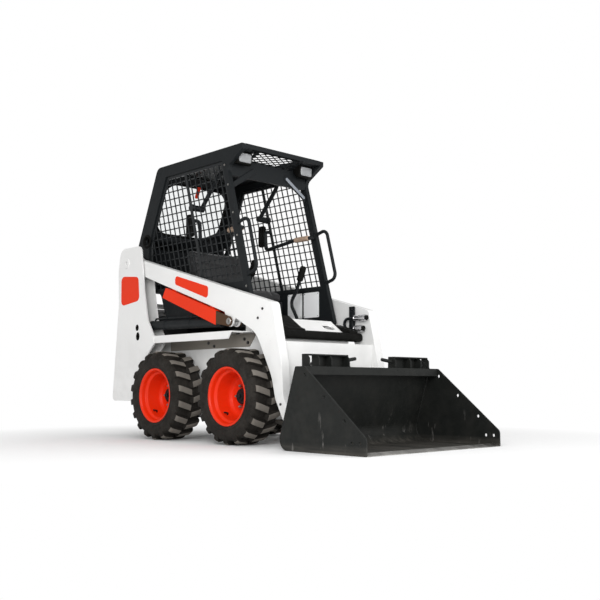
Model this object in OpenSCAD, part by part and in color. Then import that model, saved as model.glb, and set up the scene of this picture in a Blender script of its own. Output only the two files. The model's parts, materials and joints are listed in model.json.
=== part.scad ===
// Compact skid steer loader with bucket, wheels down, arms down, bucket flat.
// Local frame: x forward from midway between the axles, y left, z up from the ground, millimetres.

/* [Wheels] */
// distance between the axles
wheelbase = 724; // [600:5:900]
// gap between a tyre and the tub
tyre_gap = 17; // [10:1:40]
// tyre radius at the lug tips
tyre_r = 278; // [240:1:320]
// tyre section width
tyre_w = 216; // [160:2:260]
// rim flange radius
rim_r = 171; // [160:1:200]
// height of a tread lug
lug_h = 22; // [12:1:30]
// lugs in one row of the tread
lugs = 18; // [14:1:22]

/* [Frame] */
// half width of the tub between the wheels
tub_half = 295; // [250:5:350]
// ground clearance under the tub
clearance = 140; // [100:5:200]
// height of the deck and fender tops
deck_z = 662; // [640:2:680]
// front face of the tub
tub_front = 560; // [540:5:570]
// rear face of the closed rear door
rear_reach = 1035; // [1000:5:1100]

/* [Uprights and arms] */
// lift arm pivot, x
arm_x = -815; // [-830:5:-780]
// lift arm pivot, z
arm_z = 1170; // [1150:5:1180]
// gap between the tub and an arm
arm_gap = 77; // [70:1:90]
// thickness of an arm
arm_w = 58; // [52:1:66]
// bucket pivot, x
tool_x = 800; // [790:5:810]
// bucket pivot, z
tool_z = 140; // [130:5:150]

/* [Cab] */
// gap between an arm and the cab
cab_gap = 25; // [15:1:40]
// thickness of the cab walls
cab_wall = 30; // [24:1:40]
// top of the roof
roof_z = 1814; // [1800:1:1840]
// front edge of the roof
roof_front = 290; // [270:5:320]
// spacing of the screen wires
mesh = 51; // [45:1:52]
// thickness of a screen wire
wire = 6; // [4:1:8]

/* [Bucket] */
// half width of the bucket
bucket_half = 559; // [500:1:620]
// reach of the cutting edge
bucket_reach = 1480; // [1300:5:1700]
// height of the bucket lip
bucket_z = 440; // [400:5:480]

/* [Hidden] */

$fn = 48;
arc_step = 6;

pin_gap = 0.3;
seat_gap = 0.1;
mid_x = (rear_reach - bucket_reach) / 2;
sheet = 12;

// wheel places, tread and wheel disc
axle_x = wheelbase / 2;
wheel_y = tub_half + tyre_gap + tyre_w / 2;
wheel_z = tyre_r;
crown = tyre_r - lug_h;
pitch = 360 / lugs;
lug_arc = 0.38 * pitch;
lug_lean = 7;
disc = -52;

// tub, arms and uprights across the machine
tub_in = tub_half - 50;
tub_rear = -930;
arm_in = tub_half + arm_gap;
arm_out = arm_in + arm_w;
lift_y = arm_in + arm_w / 2;
plate_in = arm_in - 7;
plate_out = arm_out + 8;
plate = 8;
outer_plate = 12;
fender_out = plate_out + 6;
fender_front = 318;
skirt = 48;
sill_half = tub_in + 5;
sill_rear = 450;
sill_z = deck_z + 80;
step_nose = 618;
tie_holes = [[-672, 724], [-663, 666]];
tie_r = 12;

// pins and their places
arm_pin_r = 24;
tool_pin_r = 20;
eye_pin_r = 15;
cab_pin_r = 14;
bar_pin_r = 10;
hinge_r = 9;
lift_base = [-600, 735];
lift_eye = [285, 718];
tilt_base = [610, 500];
tilt_eye = [834, 234];
cab_pivot = [-800, 1000];
bar_pivot = [-243, 1490];
door_hinge = [-985, plate_in + 20];
door_half = plate_in - 25;

// cylinders: room from the barrel's end to the rod eye, and from the bore's floor to the rod
lift_lug = arm_w / 2 - 11;
tilt_lug = 38;
bore_floor = 60;
lift_room = 99;
lift_rest = 104;
tilt_room = 61;
tilt_rest = 43;
lift_l = norm(lift_eye - lift_base);
tilt_l = norm(tilt_eye - tilt_base);

// cab
cab_half = arm_in - cab_gap;
cab_in = cab_half - cab_wall;
cab_low = deck_z + 53;
roof_low = roof_z - 30;
head_low = roof_z - 174;
head_top = roof_z - 64;
head_x = 124;
grid_half = cab_in - 122;
grid_front = 255;
grid_lean = 18.8;
post_lean = 242 / 857;
rear_lean = 222 / 516;
win_low = 965;
win_rows = 15;
win_high = win_low + win_rows * mesh + wire;
win_knee = 1300;
screen_rim = 20;
mullion_at = 388;
seat_half = 230;
screen_y = cab_half - 10;
function post_x(z) = 125 + (1745 - z) * post_lean;
function rear_x(z) = -614 - (1813 - z) * rear_lean;
function win_front(z) = post_x(z) - 40;
function win_rear(z) = rear_x(max(z, win_knee)) + 130;

// point of the front post's face, or in front of it along its normal
function post_point(z, out) = [post_x(z), -cab_half + 14, z] + out * unit([1, 0, post_lean]);

// rear face of the web that closes an upright, and a point just inside it
function web_x(z) = -955 + (z - 262) * 25 / 308;
function web_back(z) = z < 570 ? web_x(z) + 2 : -928 + (z - 570) * 29 / 330;

// underside of an arm, straight from its pivot to the bend
function arm_low(x) = 1122 - (x + 800) * 365 / 1090;

// bucket's back sheet, mouth and nose
back_low = [862, 60];
back_top = [985, bucket_z];
back_dir = unit(back_top - back_low);
heel = back_low - back_dir * (back_low[1] / back_dir[1]);
mouth = back_top[0] + 65;
nose = [bucket_reach, 86];
skin = 8;
side_t = 10;
edge_l = 40;

function unit(v) = v / norm(v);
function at(list, i) = list[(i + len(list)) % len(list)];
function flat(p) = [p[0], p[1]];
function bend(p, a, b) = acos(unit(a - p) * unit(b - p));
function reach(p, a, b, r) = r / tan(bend(p, a, b) / 2);
function hub(p, a, b, r) = p + unit(unit(a - p) + unit(b - p)) * r / sin(bend(p, a, b) / 2);

// points of the arc of radius r that rounds the corner p between a and b
function arc_points(p, a, b, r, steps) =
    let (t = reach(p, a, b, r), s = p + unit(a - p) * t, e = p + unit(b - p) * t, c = hub(p, a, b, r))
    [for (i = [0:steps]) c + r * unit((s - c) * (1 - i / steps) + (e - c) * i / steps)];

// polygon whose third value per point is the corner radius
module rounded(list) {
    polygon([for (i = [0:len(list) - 1])
        let (p = flat(list[i]), a = flat(at(list, i - 1)), b = flat(at(list, i + 1)), r = list[i][2])
        each r > 0 ? arc_points(p, a, b, r, ceil((180 - bend(p, a, b)) / arc_step)) : [p]]);
}

// an x-z outline made solid from y = low to y = high
module slab(low, high) {
    translate([0, high, 0]) rotate([90, 0, 0]) linear_extrude(high - low) children();
}

// the right half and its mirror image
module pair() {
    children();
    mirror([0, 1, 0]) children();
}

module place() {
    translate([mid_x, 0, 0]) children();
}

module box(low, high) {
    translate(low) cube(high - low);
}

// bar along y at an x-z point
module cross_pin(p, low, high, r) {
    translate([p[0], high, p[1]]) rotate([90, 0, 0]) cylinder(h = high - low, r = r);
}

// round bar between two points
module rod(a, b, r) {
    d = b - a;
    translate(a) rotate([0, acos(d[2] / norm(d)), atan2(d[1], d[0])]) cylinder(h = norm(d), r = r);
}

// bent tube: straight runs joined by arcs of one bend radius, swept as rings
function run(list, r, steps) = [for (i = [0:len(list) - 1])
    each i == 0 || i == len(list) - 1 ? [list[i]] : arc_points(list[i], list[i - 1], list[i + 1], r, steps)];
module tube(list, r, bend_r, side = [0, 1, 0], n = 14, steps = 5) {
    path = run(list, bend_r, steps);
    m = len(path);
    way = [for (i = [0:m - 1]) unit(path[min(i + 1, m - 1)] - path[max(i - 1, 0)])];
    points = [for (i = [0:m - 1]) let (u = unit(cross(side, way[i])), v = cross(way[i], u))
        for (k = [0:n - 1]) path[i] + r * (cos(k * 360 / n) * u + sin(k * 360 / n) * v)];
    skins = [for (i = [0:m - 2], k = [0:n - 1])
        [i * n + k, i * n + (k + 1) % n, (i + 1) * n + (k + 1) % n, (i + 1) * n + k]];
    ends = [[for (k = [n - 1:-1:0]) k], [for (k = [0:n - 1]) (m - 1) * n + k]];
    polyhedron(points, [for (f = concat(skins, ends)) [for (k = [len(f) - 1:-1:0]) f[k]]], convexity = 6);
}

// Frame
module tub_side() {
    rounded([[tub_rear, 250, 10], [-720, clearance, 40], [440, clearance, 60], [tub_front, 270, 20],
        [tub_front, deck_z, 0], [tub_rear, deck_z, 0]]);
}

// sloping sill over the front wall, with one oval hole
module sill() {
    difference() {
        slab(-sill_half, sill_half) polygon([[tub_front, deck_z], [sill_rear, sill_z],
            [sill_rear, sill_z - sheet], [tub_front - sheet, deck_z - sheet]]);
        translate([tub_front - 55, sill_half - 80, deck_z]) linear_extrude(sill_z - deck_z)
            rounded([[-26, -46, 25], [26, -46, 25], [26, 46, 25], [-26, 46, 25]]);
    }
    pair() slab(-sill_half, -sill_half + sheet) polygon([[tub_front, deck_z - 1], [sill_rear, sill_z - 1],
        [sill_rear, deck_z - 30], [tub_front, deck_z - 30]]);
}

module main_frame() {
    well_rear = 130;
    well_floor = 360;
    fire_wall = -430;
    color("white") place() {
        pair() slab(-tub_half, -tub_in) tub_side();
        pair() box([tub_rear - 10, -plate_in + plate, 260], [-680, -tub_half, deck_z - 22]);
        slab(-tub_in, tub_in) difference() {
            tub_side();
            rounded([[tub_rear - 10, 250 + sheet, 0], [-716, clearance + sheet, 40],
                [436, clearance + sheet, 60], [tub_front - sheet, 274, 20], [tub_front - sheet, sill_z + 99, 0],
                [tub_rear - 10, sill_z + 99, 0]]);
        }
        box([fire_wall - sheet, -tub_in, clearance + sheet], [fire_wall, tub_in, deck_z]);
        box([fire_wall, -tub_in, deck_z - sheet], [well_rear, tub_in, deck_z]);
        box([well_rear - sheet, -tub_in, well_floor], [well_rear, tub_in, deck_z - sheet]);
        box([well_rear - sheet, -tub_in, well_floor - sheet], [tub_front - sheet, tub_in, well_floor]);
        sill();
    }
}

module fenders() {
    rear = -480;
    color("white") place() pair() {
        box([rear, -fender_out, deck_z - 10], [fender_front, -tub_half, deck_z]);
        slab(-fender_out, -fender_out + plate) polygon([[rear, deck_z - skirt],
            [fender_front - 34, deck_z - skirt], [fender_front, deck_z], [rear, deck_z]]);
        box([fender_front, -arm_in + 10, deck_z - 10], [400, -tub_half, deck_z]);
        box([330, -cab_half, deck_z], [390, -cab_in, cab_low - pin_gap]);
    }
}

// side of an upright below the points of its head
module upright_outline(head) {
    difference() {
        rounded(concat([[-965, 238, 30], [-672, 238, 0], [-672, 420, 0], [-553, 533, 20], [-480, 606, 0],
            [-480, deck_z, 30], [-554, 770, 120], [-600, 960, 200]], head,
            [[-918, 1120, 200], [-905, 900, 300], [-935, 570, 200]]));
        translate([-axle_x, wheel_z]) circle(tyre_r + 26);
    }
}

module upright() {
    face = -plate_out - outer_plate;
    difference() {
        union() {
            slab(face, -plate_out) upright_outline([[-646, 1274, 40], [-892, 1274, 60]]);
            slab(-plate_in, -plate_in + plate)
                upright_outline([[-627, 1140, 60], [-760, 1215, 60], [-902, 1215, 50]]);
            slab(-plate_out, -plate_in) polygon([[web_x(262), 262], [-947, 262], [-922, 570], [-893, 900],
                [-903, 1120], [-888, 1210], [-896, 1210], [-911, 1120], [-901, 900], [web_x(570), 570]]);
            cross_pin([arm_x, arm_z], -plate_out, -plate_in, arm_pin_r);
            cross_pin([arm_x, arm_z], face - 6, face, 34);
            cross_pin(lift_base, -plate_out, -plate_in, eye_pin_r);
            cross_pin(cab_pivot, -plate_in + plate, -cab_in - 2, cab_pin_r);
        }
        cross_pin([arm_x, arm_z], face - 7, face + 8, 11);
        for (p = tie_holes) cross_pin(p, face - 1, -plate_out + 1, tie_r);
    }
}

module upright_right() {
    color("white") place() upright();
}

module upright_left() {
    color("white") place() {
        mirror([0, 1, 0]) upright();
        for (z = [320, 760]) {
            translate([door_hinge[0], door_hinge[1], z - 12]) cylinder(h = 72, r = hinge_r);
            slab(door_hinge[1] - 8, door_hinge[1] + 8) polygon([[door_hinge[0] - 8, z - 14],
                [web_back(z), z - 14], [web_back(z), z - 2], [door_hinge[0] - 8, z - 2]]);
        }
    }
}

module axle_tubes() {
    color("dimgray") place() for (x = [-axle_x, axle_x]) pair() {
        cross_pin([x, wheel_z], -wheel_y - disc + sheet + pin_gap, -tub_half, 46);
        cross_pin([x, wheel_z], -tub_half - 14, -tub_half, 80);
    }
}

module engine() {
    half = tub_half - 95;
    color("dimgray") place() {
        box([-900, -half, 300], [-450, half, 820]);
        box([-880, -tub_in, 262], [-860, tub_in, 300]);
        box([-470, -tub_in, 152], [-450, tub_in, 300]);
    }
}

module rear_grille() {
    bar = 70;
    color("white") place() difference() {
        box([-975, -plate_in + plate, 890], [-846, plate_in - plate, 912]);
        for (i = [-4:4]) box([-950, i * bar - 24, 880], [-870, i * bar + 24, 930]);
    }
}

module step() {
    half = arm_in - 12;
    low = deck_z - 50;
    top = deck_z + 2;
    rest = deck_z + seat_gap;
    color("black") place() {
        slab(-half, half)
            rounded([[tub_front, low, 0], [step_nose, low, 22], [step_nose, top, 22], [tub_front, top, 0]]);
        pair() slab(-half + 32, -sill_half - 6) rounded([[436, rest, 0], [tub_front, rest, 0],
            [tub_front, rest - sheet, 0], [step_nose - sheet, rest - sheet, 0],
            [step_nose - sheet, deck_z + 18, 14], [455, deck_z + 60, 14], [436, deck_z + 54, 8]]);
    }
}

module control_levers() {
    y = -tub_half + 90;
    color("black") place() pair() {
        tube([[240, y, 360], [240, y, 640], [185, y, 778], [124, y, 875], [184, y, 955],
            [239, y, 1082]], 11, 60);
        rod([215, y, 1027], [244, y, 1093], 19);
    }
}

module tail_lamps() {
    color("red") place() pair() slab(-plate_out + 4, -plate_in - 14)
        polygon([[web_x(400), 400], [web_x(490), 490], [web_x(490) - 28, 490], [web_x(400) - 28, 400]]);
}

// Cab
module cab_outline() {
    rounded([[-464, cab_low, 30], [post_x(cab_low), cab_low, 30], [post_x(1690), 1690, 40],
        [roof_front, roof_z - 34, 10], [roof_front, roof_z, 8], [-614, roof_z, 50], [-836, 1297, 60],
        [-840, 960, 30], [-559, 960, 60]]);
}

// window opening, or with an inset the hole inside its frame
module window_outline(inset = 0) {
    low = win_low + inset;
    high = win_high - inset;
    polygon([[win_rear(low) + inset, low], [win_front(low) - inset, low], [win_front(high) - inset, high],
        [win_rear(high) + inset, high], [win_rear(win_knee) + inset, win_knee]]);
}

module cab_side() {
    slab(-cab_half, -cab_in) difference() {
        cab_outline();
        window_outline();
        translate(cab_pivot) circle(cab_pin_r + pin_gap);
        translate([-734, 1328]) circle(32);
    }
}

module cab_side_right() {
    color("black") place() cab_side();
}

module cab_side_left() {
    color("black") place() mirror([0, 1, 0]) cab_side();
}

// plate across the cab along the slope of its rear edge, from the roof down
module rear_sheet(low, high) {
    translate([-614, 0, 1813]) rotate([0, atan2(222, 516), 0]) rotate([90, 0, 90]) translate([0, -562, 0])
        translate([0, 0, low]) linear_extrude(high - low) children();
}

module rear_opening() {
    half = cab_in - 37;
    rounded([[-half, 120, 110], [half, 120, 110], [half, 486, 110], [-half, 486, 110]]);
}

module cab_rear() {
    color("black") place() {
        rear_sheet(20, 36) difference() {
            translate([-cab_in, 10]) square([2 * cab_in, 536]);
            rear_opening();
        }
        box([-820, -cab_in, 980], [-805, cab_in, 1300]);
    }
}

module rear_window() {
    color("lightblue") place() rear_sheet(25, 31) rear_opening();
}

module cab_roof() {
    color("black") place() difference() {
        box([-587, -cab_in, roof_low], [roof_front, cab_in, roof_z]);
        box([-15, -grid_half, roof_low - 10], [grid_front, grid_half, roof_z + 10]);
    }
}

// expanded metal from the top of the header up to the roof's front bar
module roof_screen() {
    long = (grid_front - head_x - 6) / cos(grid_lean);
    row = 16;
    col = 60;
    color("black") place() translate([head_x + 6, 0, head_top]) rotate([0, -grid_lean, 0])
        linear_extrude(4) difference() {
            translate([0, -grid_half]) square([long, 2 * grid_half]);
            for (i = [0:6], j = [-3:2 - i % 2]) translate([18 + i * row, (j + (1 + i % 2) / 2) * col])
                polygon([[-13, 0], [0, -24], [13, 0], [0, 24]]);
        }
}

module cab_header() {
    face = head_x + 24;
    color("black") place() {
        box([head_x, -cab_in, head_low], [face, cab_in, head_top]);
        pair() box([head_x, -cab_in, head_top], [face, -grid_half - 1, roof_low]);
        pair() translate([face, 0, 0]) rotate([90, 0, 90]) linear_extrude(6)
            polygon([[-cab_in, head_low - 87], [-cab_in, head_low - 48], [-135, head_top - 35],
                [-115, head_low + 43]]);
    }
}

// wire parallel to the front post, ended by the rear edge of the window
module leaning_wire(shift, wide) {
    low = win_low + screen_rim - 4;
    cross_z = (win_front(0) - shift - rear_x(0) - 130) / (post_lean + rear_lean);
    high = min(win_high - screen_rim + 4, cross_z - 30);
    polygon([[win_front(low) - shift - wide, low], [win_front(low) - shift, low],
        [win_front(high) - shift, high], [win_front(high) - shift - wide, high]]);
}

module level_wire(z) {
    end = screen_rim - 4;
    polygon([[win_rear(z) + end, z], [win_front(z) - end, z], [win_front(z + wire) - end, z + wire],
        [win_rear(z + wire) + end, z + wire]]);
}

module side_screens() {
    wires = 18;
    color("black") place() pair() {
        slab(-screen_y, -screen_y + 2 * wire) difference() {
            window_outline();
            window_outline(screen_rim);
        }
        for (i = [1:wires]) if (i != round(mullion_at / mesh))
            slab(-screen_y, -screen_y + wire) leaning_wire(i * mesh, wire);
        slab(-screen_y, -screen_y + wire) leaning_wire(mullion_at, 4 * wire);
        for (j = [1:win_rows - 1])
            slab(-screen_y + wire, -screen_y + 2 * wire) level_wire(win_low + j * mesh);
        difference() {
            cross_pin(bar_pivot, -screen_y, -cab_in, 24);
            cross_pin(bar_pivot, -cab_in - 7, -cab_in + 1, bar_pin_r + pin_gap);
        }
    }
}

module work_lights() {
    low = roof_z - 100;
    color("gray") place() pair() slab(-cab_in + 6, -grid_half - 12) rounded([[242, low, 10],
        [246, roof_low, 0], [170, roof_low, 0], [166, roof_low - 40, 12], [196, low, 16]]);
}

module grab_handles() {
    color("black") place() pair() tube([post_point(1330, 0), post_point(1330, 90), post_point(1004, 86),
        post_point(1004, 0)], 11, 40);
}

module armrest_rails() {
    y = -cab_in + 34;
    z = win_low + 8.5 * mesh + wire / 2;
    top = win_front(z) - mullion_at - 2 * wire;
    end = post_x(1305) - 20;
    color("black") place() pair() tube([[top, -screen_y + wire, z], [top, y, z], [-208, y, 1270], [80, y, 1305],
        [end, y, 1305], [end, -cab_in, 1305]], 12, 22, [0.35, 0.9, 0.2]);
}

module seat_base() {
    base = cab_low + 20;
    color("dimgray") place() {
        box([-420, -cab_in, cab_low], [60, cab_in, base]);
        box([-400, -seat_half + 20, base], [40, seat_half - 20, 890]);
        slab(-seat_half + 30, seat_half - 30)
            polygon([[-412, base], [-400, base], [-400, 965], [-470, 1250], [-482, 1250], [-412, 962]]);
    }
}

module seat_cushion() {
    color("black") place() slab(-seat_half, seat_half)
        rounded([[-400, 890, 20], [70, 890, 20], [85, 985, 45], [-400, 960, 20]]);
}

module seat_back() {
    color("black") place() slab(-seat_half, seat_half)
        rounded([[-400, 965, 10], [-300, 970, 20], [-372, 1250, 40], [-470, 1250, 40]]);
}

module seat_bar() {
    y = cab_in - 66;
    top = [-36, 1715];
    color("black") place() {
        tube([[bar_pivot[0], -y, bar_pivot[1]], [top[0], -y, top[1]], [top[0], y, top[1]],
            [bar_pivot[0], y, bar_pivot[1]]], 14, 60, [0.6, 0, -0.7]);
        pair() cross_pin(bar_pivot, -cab_in + pin_gap, -y + 14, 20);
        pair() cross_pin(bar_pivot, -cab_in - 6, -cab_in + 4, bar_pin_r);
    }
}

// Arms
module arm_outline() {
    rounded([[-800, arm_low(-800), 0], [290, arm_low(290), 300], [520, 640, 160], [655, 390, 300],
        [684, 268, 120], [tool_x - 34, tool_z - 20, 0], [tool_x + 36, tool_z + 15, 0], [752, 272, 90],
        [738, 460, 300], [658, 808, 30], [-800, 1219, 0]]);
    translate([arm_x, arm_z]) circle(60);
    translate([tool_x, tool_z]) circle(40);
}

module arm_lug() {
    difference() {
        union() {
            translate(lift_eye) circle(32);
            polygon([[225, 795], lift_eye + [-30, -4], lift_eye + [30, -4], [345, 745], [300, 795]]);
        }
        arm_outline();
    }
}

module arm() {
    wall = arm_w / 2 - lift_lug;
    slab(-arm_out, -arm_in) difference() {
        arm_outline();
        translate([arm_x, arm_z]) circle(arm_pin_r + pin_gap);
        translate([tool_x, tool_z]) circle(tool_pin_r + pin_gap);
    }
    slab(-arm_in - wall, -arm_in) arm_lug();
    slab(-arm_out, -arm_out + wall) arm_lug();
    cross_pin(lift_eye, -arm_in - 1, -arm_in + 10, eye_pin_r + 1);
    cross_pin(lift_eye, -arm_out - 10, -arm_out + 1, eye_pin_r + 1);
}

module arm_right() {
    color("white") place() arm();
}

module arm_left() {
    color("white") place() mirror([0, 1, 0]) arm();
}

module arm_crossmember() {
    face = 678;
    low = 350;
    top = 589;
    color("white") place() {
        translate([face, 0, 0]) rotate([90, 0, 90]) linear_extrude(sheet) rounded([[-arm_in, low, 0],
            [-200, low, 20], [-170, 478, 40], [170, 478, 40], [200, low, 20], [arm_in, low, 0],
            [arm_in, top, 0], [-arm_in, top, 0]]);
        box([face - 56, -arm_in, top - sheet], [face, arm_in, top]);
        pair() slab(-tilt_lug - sheet, -tilt_lug) rounded([[face, top - sheet, 0], [face - 56, top - sheet, 0],
            [588, 520, 10], [584, 474, 20], [face, 478, 0]]);
        cross_pin(tilt_base, -tilt_lug, tilt_lug, eye_pin_r);
    }
}

// strip that follows an arm's underside between two depths
module under_arm(from, to, high, low) {
    polygon([[from, arm_low(from) - high], [to, arm_low(to) - high], [to, arm_low(to) - low],
        [from, arm_low(from) - low]]);
}

// side of the channel that props a raised arm, hung on the lift cylinder's pin
module prop_side() {
    difference() {
        union() {
            polygon([[-365, arm_low(-365) - 10], [158, arm_low(158) - 10], [158, 703], [-398, 905]]);
            polygon([[140, arm_low(140) - 14], lift_eye + [4, 29], lift_eye + [-4, -29], [140, 713]]);
            translate(lift_eye) circle(30);
        }
        translate(lift_eye) circle(eye_pin_r + 1 + pin_gap);
    }
}

module arm_prop() {
    side = arm_w / 2 + 6;
    wall = 5;
    color("red") place() {
        for (y = [-lift_y - side - wall, -lift_y + side]) slab(y, y + wall) prop_side();
        slab(-lift_y - side - 1, -lift_y + side + 1) under_arm(-365, 158, 10, 15);
        for (x = [-320, 80]) slab(-lift_y - 20, -lift_y + 20) under_arm(x, x + 40, 0, 12);
    }
}

// bracket on the left arm with two couplers and the hose behind them
module couplers() {
    y = arm_in - 27;
    back = 513;
    face = 556;
    high = 760;
    low = 695;
    color("gray") place() {
        difference() {
            box([back, arm_in - 22, low - 5], [face, arm_in - 12, 836]);
            cross_pin([back + 22, 815], arm_in - 23, arm_in - 11, 9);
        }
        box([back, arm_in - 14, low + 5], [back + 10, arm_in, 820]);
        box([face - 8, y - 14, low - 17], [face, arm_in - 13, high + 22]);
        for (c = [[high, 667], [low, 641]]) {
            rod([face - 4, y, c[0]], [c[1], y, c[0]], 12);
            rod([c[1] - 60, y, c[0]], [c[1] - 12, y, c[0]], 15);
        }
        tube([[face - 2, y, high], [478, y, high], [478, y, low], [face - 2, y, low]], 9, 30);
    }
}

// Bucket and its mount
module along_back(low, high, from, to) {
    n = [-back_dir[1], back_dir[0]];
    polygon([back_low + back_dir * from + n * low, back_low + back_dir * from + n * high,
        back_low + back_dir * to + n * high, back_low + back_dir * to + n * low]);
}

module attach_plate() {
    half = arm_out + 15;
    color("dimgray") place() {
        slab(-half, half) along_back(seat_gap, 14, 70, 330);
        pair() for (y = [arm_in - 12, arm_out + 2]) slab(-y - 10, -y) difference() {
            union() {
                translate([tool_x, tool_z]) circle(36);
                polygon([[tool_x + 12, tool_z - 34], back_low + back_dir * 75, back_low + back_dir * 210,
                    [tool_x - 4, tool_z + 36]]);
            }
            along_back(-200, 6, -300, 800);
        }
        pair() cross_pin([tool_x, tool_z], -arm_out - 12, -arm_in + 12, tool_pin_r);
        pair() slab(-tilt_lug - 12, -tilt_lug) difference() {
            union() {
                translate(tilt_eye) circle(28);
                polygon([tilt_eye + [0, -28], back_low + back_dir * 90, back_low + back_dir * 300,
                    tilt_eye + [-5, 27]]);
            }
            along_back(-200, 6, -300, 800);
        }
    }
}

module attach_levers() {
    color("black") place() pair() slab(-300, -280) along_back(14 + seat_gap, 30, 120, 400);
}

module bucket_shell() {
    half = bucket_half - side_t;
    inner = heel + [skin / back_dir[1], 0];
    lean = back_dir[0] / back_dir[1];
    far = bucket_reach + 200;
    color("black") place() {
        slab(-half, half) difference() {
            rounded([[heel[0], 0, 90], [bucket_reach - edge_l, 0, 0], [bucket_reach - edge_l, bucket_z, 0],
                [back_top[0], bucket_z, 15]]);
            rounded([[inner[0] + skin * lean, skin, 82], [far, skin, 0], [far, bucket_z - skin, 0],
                [inner[0] + (bucket_z - skin) * lean, bucket_z - skin, 8]]);
            translate([mouth, skin]) square([far, bucket_z]);
        }
        box([mouth - 38, -half, bucket_z - 45], [mouth, half, bucket_z - skin]);
    }
}

module bucket_sides() {
    lip = [mouth + 2, bucket_z];
    inward = unit([nose[1] - lip[1], lip[0] - nose[0]]) * 30;
    color("black") place() pair() slab(-bucket_half, -bucket_half + side_t) difference() {
        rounded([[heel[0], 0, 60], [nose[0], 0, 8], [nose[0], nose[1], 30], [lip[0], lip[1], 20],
            [back_top[0], bucket_z, 10]]);
        for (t = [0.06, 0.38, 0.71]) translate(lip * (1 - t) + nose * t + inward) circle(9);
        for (x = [40, 92]) translate(nose - [x, 26]) circle(9);
    }
}

module bucket_brackets() {
    outer = bucket_half - 24;
    inner = 190;
    back = back_top[0] - 12;
    color("black") place() pair() {
        box([back, -outer, bucket_z], [back + skin, -inner, bucket_z + 66]);
        for (i = [0:3]) translate([0, i * (outer - inner - skin) / 3, 0]) slab(-outer, -outer + skin)
            polygon([[back + skin, bucket_z], [mouth - 4, bucket_z], [back + skin, bucket_z + 60]]);
    }
}

module cutting_edge() {
    half = bucket_half - side_t;
    back = bucket_reach - edge_l;
    color("silver") place() slab(-half, half)
        polygon([[back, 0], [bucket_reach, 0], [bucket_reach, 4], [back + 10, 16], [back, 16]]);
}

// Cylinders
module barrel(base, eye, y, length, r, eye_r, wide) {
    d = unit(eye - base);
    start = [base[0], y, base[1]];
    way = [d[0], 0, d[1]];
    color("dimgray") difference() {
        union() {
            rod(start + 20 * way, start + length * way, r);
            cross_pin(base, y - wide, y + wide, eye_r);
        }
        cross_pin(base, y - wide - 1, y + wide + 1, eye_pin_r + pin_gap);
        rod(start + bore_floor * way, start + (length + 1) * way, 17);
    }
}

module piston_rod(base, eye, y, length, eye_r, wide, pin) {
    d = unit(eye - base);
    end = [eye[0], y, eye[1]];
    way = [d[0], 0, d[1]];
    color("silver") {
        rod(end - length * way, end - 10 * way, 16);
        cross_pin(eye, y - wide, y + wide, eye_r);
        cross_pin(eye, y - pin, y + pin, eye_pin_r);
    }
}

module lift_barrel(y) {
    barrel(lift_base, lift_eye, y, lift_l - lift_room, 30, 30, arm_w / 2 - 3);
}

module lift_rod(y) {
    long = lift_l - bore_floor - lift_rest;
    piston_rod(lift_base, lift_eye, y, long, 28, lift_lug - 5, lift_lug - pin_gap);
}

module lift_barrel_right() {
    place() lift_barrel(-lift_y);
}

module lift_rod_right() {
    place() lift_rod(-lift_y);
}

module lift_barrel_left() {
    place() lift_barrel(lift_y);
}

module lift_rod_left() {
    place() lift_rod(lift_y);
}

module tilt_barrel() {
    place() barrel(tilt_base, tilt_eye, 0, tilt_l - tilt_room, 32, 28, tilt_lug - 4);
}

module tilt_rod() {
    long = tilt_l - bore_floor - tilt_rest;
    place() piston_rod(tilt_base, tilt_eye, 0, long, 24, tilt_lug - 4, tilt_lug - pin_gap);
}

// Rear door
module rear_door() {
    low = 255;
    high = 885;
    louvre = 45;
    back = -rear_reach;
    inner = door_half - sheet;
    color("white") place() {
        difference() {
            box([back, -door_half, low], [-946, door_half, high]);
            box([back + sheet, -inner, low + sheet], [tub_rear, inner, high - sheet]);
            for (i = [0:6]) translate([0, 0, i * louvre]) box([back - 5, -220, 520], [back + 25, 220, 545]);
        }
        for (z = [320, 760]) difference() {
            union() {
                translate([door_hinge[0], door_hinge[1], z]) cylinder(h = 60, r = 18);
                box([door_hinge[0] - 12, door_half, z], [door_hinge[0] + 6, door_hinge[1], z + 60]);
            }
            translate([door_hinge[0], door_hinge[1], z - 1]) cylinder(h = 62, r = hinge_r + pin_gap);
        }
    }
}

// Wheels
// half section of the tyre from the bead to the middle, on a lug or between two: place across, radius
function half_section(high) = let (w = tyre_w / 2, top = high ? tyre_r : crown) [
    [w - 12, rim_r / cos(lug_arc / 2) + seat_gap], [w, rim_r + 34], [w - 3, high ? tyre_r - 10 : crown - 14],
    [w - 20, top], [5, top]];

// Two rows of lugs, half a pitch apart, swept back towards the shoulders. Each pitch has four sections:
// two on a lug of one row and between lugs of the other, then two the other way round.
module tyre() {
    turns = [for (i = [0:lugs - 1], t = [0, lug_arc, pitch / 2, pitch / 2 + lug_arc]) i * pitch + t];
    m = len(turns);
    n = 10;
    points = [for (i = [0:m - 1], k = [0:n - 1]) let (high = (i % 4 < 2) == (k < n / 2),
        s = half_section(high)[k < n / 2 ? k : n - 1 - k], a = turns[i] + lug_lean * s[0] * 2 / tyre_w)
        [s[1] * cos(a), s[1] * sin(a), k < n / 2 ? s[0] : -s[0]]];
    quads = [for (i = [0:m - 1], k = [0:n - 1]) let (j = (i + 1) % m, l = (k + 1) % n)
        [i * n + k, j * n + k, j * n + l, i * n + l]];
    faces = [for (q = quads) each [[q[0], q[1], q[2]], [q[0], q[2], q[3]]]];
    color("dimgray") rotate([90, 0, 0]) polyhedron(points, faces, convexity = 8);
}

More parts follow.
